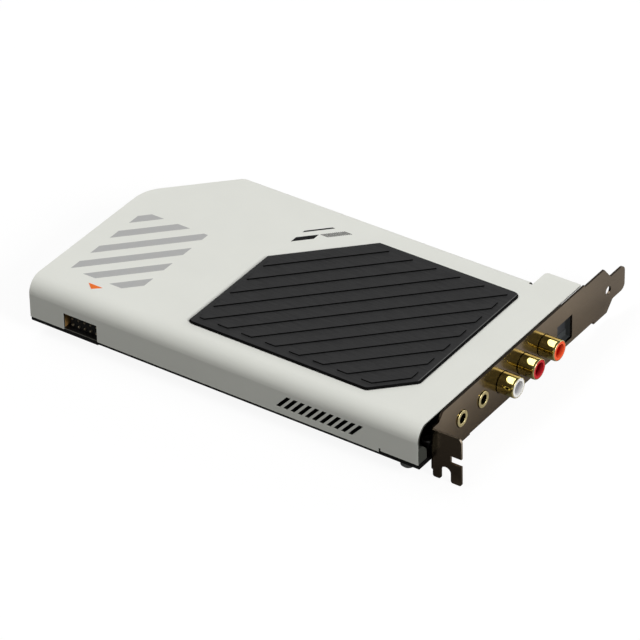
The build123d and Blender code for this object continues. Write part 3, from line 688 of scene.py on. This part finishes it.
# Pad: a dark grey moulding stuck to the cover, with slanting ribs and a fine brushed grain along them.
# Its chamfered rim and the ribs' sides carry painted shade in black, and a painted highlight runs pale along
# the face's right edge.
# It is a copy of the solid pad, trimmed at the left and at the far cut, with the rim bevelled.
# The black below is painted shade for the sides, and the fourth colour is a painted highlight.
pad_painted_side_shade = shade_of(2, 2, 2)
pad_dark = shade_of(32, 32, 33)
pad_light = shade_of(60, 60, 60)
pad_painted_highlight = shade_of(94, 94, 93)
pad_specular = 0.06
pad_roughness = 0.48
pad_roughness_spread = 0.2
pad_upwards = (0.8, 0.97)
brushed_slant = radians(-45)
brushed_stretch = (0.03, 1, 1)
brushed_lumps = 2600
brushed_relief = 0.00001
rim_chamfer = 0.00045
rim_highlight_width = 0.0003
rim_highlight_fade = 0.00005
weld_reach = 0.000001
flat_angle = radians(1)
flat_upwards = 0.99
foot_height = 0.0001
far_cut = 0.0272
far_cut_trim = 0.00075
left_trim = 0.00045
pad_low, pad_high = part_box("top_pad")
pad_trims = [
    ((pad_low.x, 0, 0), (-1, 0, 0), left_trim),
    ((pad_low.x + far_cut, pad_high.y, 0), (-1, 1, 0), far_cut_trim),
]
dark_grey, sockets, place, normal = start_finish("dark_grey_pad", pad_roughness, specular=pad_specular)
brushed = place.stretched(brushed_slant, brushed_stretch).noise(brushed_lumps)
rim_highlight_edge = rim_chamfer + rim_highlight_width
# Painted highlight: a pale band along the right edge, just within the chamfer.
painted_rim_highlight = (pad_high.x - place.part(0)).ramp(rim_highlight_edge + rim_highlight_fade, rim_highlight_edge)
face = painted_rim_highlight.tint(brushed.tint(pad_dark, pad_light), pad_painted_highlight)
# Painted shade: every face that is not turned up is painted black.
place.feed(sockets["Base Color"], normal.part(2).ramp(*pad_upwards).tint(pad_painted_side_shade, face))
place.feed(sockets["Roughness"], pad_roughness + brushed * pad_roughness_spread)
place.feed(sockets["Normal"], brushed.bumps(brushed_relief))
pad = bmesh.new()
pad.from_mesh(nodes["top_pad"].data)
bmesh.ops.remove_doubles(pad, verts=pad.verts[:], dist=weld_reach)
bmesh.ops.dissolve_limit(pad, angle_limit=flat_angle, verts=pad.verts[:], edges=pad.edges[:])
for point, outwards, trim in pad_trims:
    away = Vector(outwards).normalized()
    bmesh.ops.bisect_plane(
        pad,
        geom=pad.verts[:] + pad.edges[:] + pad.faces[:],
        plane_co=Vector(point) - away * trim,
        plane_no=away,
        clear_outer=True,
    )
    bmesh.ops.holes_fill(pad, edges=[edge for edge in pad.edges if edge.is_boundary], sides=0)
bmesh.ops.recalc_face_normals(pad, faces=pad.faces[:])
rim = [
    edge
    for edge in pad.edges
    if max(face.normal.z for face in edge.link_faces) > flat_upwards
    and min(vert.co.z for face in edge.link_faces for vert in face.verts) < cover_high.z + foot_height
]
bmesh.ops.bevel(pad, geom=rim, offset=rim_chamfer, affect="EDGES", segments=1, profile=0.5, material=-1)
bmesh.ops.triangulate(pad, faces=pad.faces[:])
add_piece("chamfered_pad", pad, dark_grey, "top_pad")


# Printed stripes: a field of slanting grey bands, screen-printed on the cover's top a few hundredths thick.
# Each band is the whole field, cut down to the band by two slanting lines.
print_thickness = 0.00003
field_from_left = 0.0079
field_from_near = 0.01305
field_length = 0.0274
field_width = 0.0424
stripe_count = 6
stripe_first = 0.0257
stripe_pitch = 0.00787
stripe_width = 0.00364


def screen_print(name, mesh, ink):
    """Turns flat faces into a thin printed layer on the cover."""
    pull(mesh, mesh.faces[:], (0, 0, print_thickness))
    bmesh.ops.recalc_face_normals(mesh, faces=mesh.faces[:])
    add_piece(name, mesh, ink)


grey_ink = mottled(
    "grey_ink",
    dark=(170, 170, 169),
    light=(177, 177, 176),
    lumps=700,
    detail=3,
    roughness=0.55,
    specular=0.3,
)
field_corner = Vector((cover_low.x + field_from_left, cover_low.y + field_from_near, cover_high.z))
field_middle = field_corner + Vector((field_length / 2, field_width / 2, 0))
across = Vector((-1, 1, 0)).normalized()
stripes = bmesh.new()
for band in range(stripe_count):
    field = bmesh.ops.create_grid(stripes, x_segments=1, y_segments=1, size=0.5)["verts"]
    bmesh.ops.scale(stripes, verts=field, vec=(field_length, field_width, 1))
    bmesh.ops.translate(stripes, verts=field, vec=field_middle)
    centre = field_corner + across * (stripe_first - band * stripe_pitch)
    edges = list({edge for vert in field for edge in vert.link_edges})
    stripe = field + edges + field[0].link_faces[:]
    for side in (-1, 1):
        stripe = bmesh.ops.bisect_plane(
            stripes,
            geom=stripe,
            plane_co=centre + across * side * stripe_width / 2,
            plane_no=across * side,
            clear_outer=True,
        )["geom"]
screen_print("printed_stripes", stripes, grey_ink)


# Pin-one marker: a small orange triangle, screen-printed on the cover's top above the header.
# Its tip points at the window in the wall below.
marker_base = 0.0060
marker_height = 0.0026
marker_from_near = 0.0071
marker_from_left = 0.02135
orange_ink = mottled(
    "orange_ink",
    dark=(230, 106, 20),
    light=(238, 114, 28),
    lumps=900,
    detail=3,
    roughness=0.55,
    specular=0.2,
)
marker_tip = Vector((cover_low.x + marker_from_left, cover_low.y + marker_from_near, cover_high.z))
marker_corners = [(0, 0), (marker_base / 2, marker_height), (-marker_base / 2, marker_height)]
marker = bmesh.new()
marker.faces.new([marker.verts.new(marker_tip + Vector((x, y, 0))) for x, y in marker_corners])
screen_print("pin_marker", marker, orange_ink)


# Printed accents: a black slash, a black bar and a patch of fine dots, on the cover's top beside the pad.
# They are screen-printed in one black ink, and all slant at 45 degrees.
accent_from_left = 0.0615
accent_from_near = 0.0682
bar_corners = [(0, -0.0004), (0.00565, 0.00525), (0.00565, 0.0083), (0, 0.0027)]
slash_corners = [(0.00015, 0.0065), (0.0082, 0.01455), (0.0071, 0.01455), (0.00015, 0.0076)]
dot_radius = 0.00021
dot_sides = 8
dot_pitch = 0.00048
first_dot = (0.0063, 0.0088)
dots_across = 7
dots_along = 13
black_ink = mottled(
    "black_ink",
    dark=(5, 5, 5),
    light=(9, 9, 9),
    lumps=900,
    detail=3,
    roughness=0.5,
    specular=0.08,
)
accent_corner = Vector((cover_low.x + accent_from_left, cover_low.y + accent_from_near, cover_high.z))
accents = bmesh.new()
for corners in (bar_corners, slash_corners):
    accents.faces.new([accents.verts.new(accent_corner + Vector((x, y, 0))) for x, y in corners])
for row in range(dots_along):
    for column in range(dots_across):
        dot = bmesh.ops.create_circle(accents, cap_ends=True, segments=dot_sides, radius=dot_radius)["verts"]
        spot = Vector((first_dot[0] + (column + row) * dot_pitch, first_dot[1] + row * dot_pitch, 0))
        bmesh.ops.translate(accents, verts=dot, vec=accent_corner + spot)
screen_print("printed_accents", accents, black_ink)


# Studio floor: a plain pale sheet under the card and a plain world, both white to the camera.
# The sheet keeps the card's soft shadow. Metal mirrors it grey, with painted shadow in front of the card and
# close to the bracket's foot, paler past the bracket and behind the card.
floor_reach = 4
floor_gap = 0.0002
floor_roughness = 0.9
# The first grey is painted shadow, seen only in what metal mirrors.
floor_painted_shadow = (0.055, 0.055, 0.055)
floor_off = (0.47, 0.47, 0.47)
paler_past_plate = (-0.0055, 0.0165)
paler_far = (0.0, 0.045)
paler_past_tab = (-0.062, -0.040)
sheet_grey = (0.25, 0.25, 0.25, 1)
sheet_glow = 1.52
sheet_glow_share = 0.6
world_light = 0.13
floor_mesh = bmesh.new()
bmesh.ops.create_grid(floor_mesh, x_segments=1, y_segments=1, size=floor_reach)
floor_data = bpy.data.meshes.new("floor")
floor_mesh.to_mesh(floor_data)
floor_mesh.free()
floor = bpy.data.objects.new("floor", floor_data)
floor.location.z = cad_box[0].z - floor_gap
bpy.context.scene.collection.objects.link(floor)
pale_floor, sockets, place, _ = start_finish("pale_floor", floor_roughness)
# Painted shadow: the sheet is darker in front of the card and close to the bracket's foot.
past_plate = (place.part(0) - plate_front).ramp(*paler_past_plate)
far = place.part(1).ramp(*paler_far)
paler = place.part(1).ramp(*paler_past_tab) * (past_plate + far - past_plate * far)
place.feed(sockets["Base Color"], paler.tint(floor_painted_shadow, floor_off))
floor_nodes = pale_floor.node_tree.nodes
mirrored = Wire(place.tree, floor_nodes["Principled BSDF"].outputs[0])
seen = place.node("ShaderNodeLightPath", output="Is Camera Ray")
shadowed = place.node("ShaderNodeBsdfDiffuse", None, {"Color": sheet_grey})
glowing = place.node("ShaderNodeEmission", None, {"Color": (1, 1, 1, 1), "Strength": sheet_glow})
sheet = place.node("ShaderNodeMixShader", None, {0: sheet_glow_share, 1: shadowed, 2: glowing})
surface = place.node("ShaderNodeMixShader", None, {0: seen, 1: mirrored, 2: sheet})
place.feed(floor_nodes["Material Output"].inputs["Surface"], surface)
floor_data.materials.append(pale_floor)
world = bpy.data.worlds.new("studio")
bpy.context.scene.world = world
world.use_nodes = True
sky = world.node_tree.nodes["Background"].inputs
seen = Wire(world.node_tree).node("ShaderNodeLightPath", output="Is Camera Ray")
seen.feed(sky["Color"], (1, 1, 1, 1))
seen.feed(sky["Strength"], world_light + seen * (1 - world_light))


# Studio lights: one long softbox overhead to the left, and two panels behind, left and right.
# A key stands at the right, for the bracket's side, and a weak fill far out in front.
def softbox(name, spot, aim, size, watts, colour=(1, 1, 1)):
    """Rectangular lamp at a spot, turned towards a point."""
    lamp = bpy.data.lights.new(name, "AREA")
    lamp.shape = "RECTANGLE"
    lamp.size, lamp.size_y = size
    lamp.energy = watts
    lamp.color = colour
    holder = bpy.data.objects.new(name, lamp)
    holder.location = spot
    holder.rotation_euler = (Vector(aim) - Vector(spot)).to_track_quat("-Z", "Y").to_euler()
    bpy.context.scene.collection.objects.link(holder)


middle = (cad_box[0] + cad_box[1]) / 2
softbox("overhead", spot=(-1.02, -0.15, 1.76), aim=(0, -0.15, 0), size=(2.5, 0.7), watts=21.1)
softbox("back_panel", spot=(-1.1, 1.9, 0.75), aim=middle, size=(1.6, 1.1), watts=7.0)
softbox("side_panel", spot=(1.1, 1.9, 0.75), aim=middle, size=(1.2, 1.1), watts=9.0)
softbox("right_key", spot=(2.2, -0.4, 1.3), aim=middle, size=(0.9, 0.8), watts=50.0)
softbox("front_fill", spot=(-0.3, -2.9, 0.6), aim=middle, size=(1.6, 0.9), watts=4.9, colour=(1, 1, 0.9))


# Camera: a long lens at the photograph's viewing angle, above the near right corner.
# It leans by a little over a degree, as the photograph does.
sensor_width = 36.0
focal_length = 256.5
view_depth = 20
camera_spot = Vector((0.737626, -1.053644, 0.887377))
camera_ahead = Vector((-0.47624, 0.67168, -0.56749))
camera_roll = radians(-1.3)
lens = bpy.data.cameras.new("camera")
lens.sensor_width = sensor_width
lens.lens = focal_length
lens.clip_end = view_depth
camera = bpy.data.objects.new("camera", lens)
camera.location = camera_spot
camera.rotation_mode = "QUATERNION"
camera.rotation_quaternion = camera_ahead.to_track_quat("-Z", "Y") @ Quaternion((0, 0, 1), camera_roll)
bpy.context.scene.collection.objects.link(camera)
bpy.context.scene.camera = camera
bpy.context.scene.view_settings.view_transform = "Standard"
